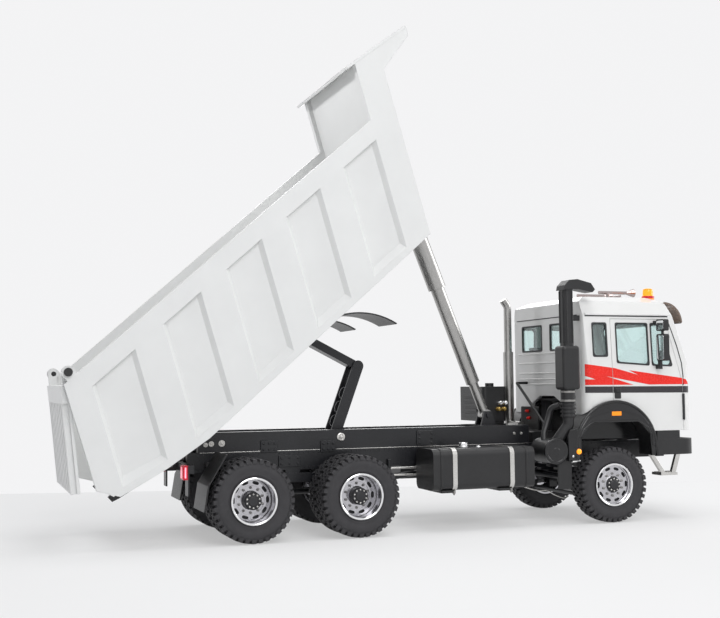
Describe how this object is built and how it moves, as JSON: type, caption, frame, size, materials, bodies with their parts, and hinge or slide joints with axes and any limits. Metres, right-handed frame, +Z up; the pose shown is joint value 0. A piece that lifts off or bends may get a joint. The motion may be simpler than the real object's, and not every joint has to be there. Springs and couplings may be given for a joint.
{
  "type": "scale model dump truck",
  "caption": "Working scale model of a three-axle dump truck: hollow cab, leaf-sprung chassis, steering, and a ribbed tipping bed on a telescopic lift with a scissor stay.",
  "frame": {"origin": "on the floor under the middle of the truck's bounding box, bed raised", "axes": "+X forward, +Y to the truck's left, +Z up"},
  "size_m": [0.7012, 0.206, 0.5307],
  "materials": {
    "cab_paint": "gloss",
    "bed_paint": "satin",
    "chassis_paint": "satin",
    "black_plastic": "matte",
    "tyre_rubber": "matte",
    "wheel_metal": "satin",
    "lift_metal": "satin",
    "bright_metal": "polished",
    "steel": "satin",
    "window_glass": "clear",
    "visor_plastic": "tinted",
    "lamp_clear": "gloss",
    "lamp_amber": "gloss",
    "lamp_red": "gloss",
    "interior_plastic": "matte"
  },
  "bodies": {
    "chassis": {"subframe": "chassis_paint", "front_axle": "chassis_paint", "rear_axles": "chassis_paint", "leaf_springs": "chassis_paint", "frame": "chassis_paint", "drive_line": "steel", "fuel_tank": "chassis_paint", "tank_straps": "steel", "battery_box": "chassis_paint", "air_intake": "black_plastic", "exhaust": "steel", "hydraulic_tank": "chassis_paint", "bumper": "black_plastic", "headlamps": "lamp_clear", "steps": "bright_metal", "fenders": "black_plastic", "tail_bar": "chassis_paint", "tail_lamps": "lamp_red", "cab_roof": "cab_paint", "cab_rear": "cab_paint", "cab_front": "cab_paint", "cab_sides": "cab_paint", "cab_glass": "window_glass", "cab_interior": "interior_plastic", "grille": "black_plastic", "sun_visor": "visor_plastic", "air_horns": "bright_metal", "amber_lamps": "lamp_amber"},
    "bed": {"bed_floor": "bed_paint", "bed_sides": "bed_paint", "bed_headboard": "bed_paint", "bed_fittings": "black_plastic"},
    "tailgate": {"tailgate": "bed_paint"},
    "lift_barrel": {"lift_barrel": "lift_metal"},
    "lift_stage_a": {"lift_stage_a": "lift_metal"},
    "lift_stage_b": {"lift_stage_b": "lift_metal"},
    "lift_rod": {"lift_rod": "lift_metal"},
    "scissor_lower": {"scissor_lower": "chassis_paint"},
    "scissor_upper": {"scissor_upper": "chassis_paint"},
    "knuckle_left": {"knuckle_left": "chassis_paint"},
    "knuckle_right": {"knuckle_right": "chassis_paint"},
    "tie_rod": {"tie_rod": "steel"},
    "door_left": {"door_left": "cab_paint", "door_left_glass": "window_glass", "door_left_mirror": "black_plastic"},
    "front_left_wheel": {"front_left_tyre": "tyre_rubber", "front_left_rim": "wheel_metal"},
    "middle_left_wheels": {"middle_left_tyres": "tyre_rubber", "middle_left_rim": "wheel_metal"},
    "rear_left_wheels": {"rear_left_tyres": "tyre_rubber", "rear_left_rim": "wheel_metal"},
    "door_right": {"door_right": "cab_paint", "door_right_glass": "window_glass", "door_right_mirror": "black_plastic"},
    "front_right_wheel": {"front_right_tyre": "tyre_rubber", "front_right_rim": "wheel_metal"},
    "middle_right_wheels": {"middle_right_tyres": "tyre_rubber", "middle_right_rim": "wheel_metal"},
    "rear_right_wheels": {"rear_right_tyres": "tyre_rubber", "rear_right_rim": "wheel_metal"}
  },
  "joints": [
    {"name": "bed_tilt", "type": "hinge", "parent": "chassis", "child": "bed", "pos_m": [-0.19739, 0, 0.0954], "axis": [0, 1, 0], "range_deg": [0, 41.4]},
    {"name": "gate_swing", "type": "hinge", "parent": "bed", "child": "tailgate", "pos_m": [-0.34441, 0, 0.16842], "axis": [0, -1, 0], "range_deg": [-50, 10.4]},
    {"name": "barrel_swing", "type": "hinge", "parent": "bed", "child": "lift_barrel", "pos_m": [-0.01853, 0, 0.47985], "axis": [0, 1, 0], "range_deg": [0, 4.1]},
    {"name": "stage_a_slide", "type": "slide", "parent": "lift_barrel", "child": "lift_stage_a", "axis": [-0.3709, 0, 0.9287], "range_m": [0, 0.08186]},
    {"name": "stage_b_slide", "type": "slide", "parent": "lift_stage_a", "child": "lift_stage_b", "axis": [-0.3709, 0, 0.9287], "range_m": [0, 0.11452]},
    {"name": "rod_slide", "type": "slide", "parent": "lift_stage_b", "child": "lift_rod", "axis": [-0.3709, 0, 0.9287], "range_m": [0, 0.03222]},
    {"name": "scissor_foot", "type": "hinge", "parent": "chassis", "child": "scissor_lower", "pos_m": [-0.05869, 0, 0.0989], "axis": [0, 1, 0], "range_deg": [0, 78.4]},
    {"name": "scissor_elbow", "type": "hinge", "parent": "scissor_lower", "child": "scissor_upper", "pos_m": [-0.03098, 0, 0.1742], "axis": [0, 1, 0], "range_deg": [-91.7, 0]},
    {"name": "steer", "type": "hinge", "parent": "chassis", "child": "knuckle_left", "pos_m": [0.23911, 0.057, 0.0415], "axis": [0, 0, 1], "range_deg": [-25, 25]},
    {"name": "steer_right", "type": "hinge", "parent": "chassis", "child": "knuckle_right", "pos_m": [0.23911, -0.057, 0.0415], "axis": [0, 0, 1], "range_deg": [-25.1, 25.1]},
    {"name": "tie_rod_slide", "type": "slide", "parent": "chassis", "child": "tie_rod", "axis": [0, 1, 0], "range_m": [-0.0104, 0.0104]},
    {"name": "door_left_hinge", "type": "hinge", "parent": "chassis", "child": "door_left", "pos_m": [0.33411, 0.0845, 0.15], "axis": [0, 0, -1], "range_deg": [0, 60]},
    {"name": "front_left_spin", "type": "hinge", "parent": "knuckle_left", "child": "front_left_wheel", "pos_m": [0.23911, 0.076, 0.0415], "axis": [0, 1, 0], "continuous": true},
    {"name": "middle_left_spin", "type": "hinge", "parent": "chassis", "child": "middle_left_wheels", "pos_m": [-0.05638, 0.064, 0.0415], "axis": [0, 1, 0], "continuous": true},
    {"name": "rear_left_spin", "type": "hinge", "parent": "chassis", "child": "rear_left_wheels", "pos_m": [-0.16739, 0.064, 0.0415], "axis": [0, 1, 0], "continuous": true},
    {"name": "door_right_hinge", "type": "hinge", "parent": "chassis", "child": "door_right", "pos_m": [0.33411, -0.0845, 0.15], "axis": [0, 0, 1], "range_deg": [0, 60]},
    {"name": "front_right_spin", "type": "hinge", "parent": "knuckle_right", "child": "front_right_wheel", "pos_m": [0.23911, -0.076, 0.0415], "axis": [0, 1, 0], "continuous": true},
    {"name": "middle_right_spin", "type": "hinge", "parent": "chassis", "child": "middle_right_wheels", "pos_m": [-0.05638, -0.064, 0.0415], "axis": [0, 1, 0], "continuous": true},
    {"name": "rear_right_spin", "type": "hinge", "parent": "chassis", "child": "rear_right_wheels", "pos_m": [-0.16739, -0.064, 0.0415], "axis": [0, 1, 0], "continuous": true}
  ],
  "couplings": [
    {"joint": "barrel_swing", "follows": "bed_tilt", "ratio": 0.098526},
    {"joint": "stage_a_slide", "follows": "bed_tilt", "m_per_rad": 0.11327},
    {"joint": "stage_b_slide", "follows": "bed_tilt", "m_per_rad": 0.15846},
    {"joint": "rod_slide", "follows": "bed_tilt", "m_per_rad": 0.044563},
    {"joint": "scissor_foot", "follows": "bed_tilt", "ratio": 1.8932},
    {"joint": "scissor_elbow", "follows": "bed_tilt", "ratio": -2.2146},
    {"joint": "steer_right", "follows": "steer", "ratio": 1},
    {"joint": "tie_rod_slide", "follows": "steer", "m_per_rad": -0.023246}
  ]
}
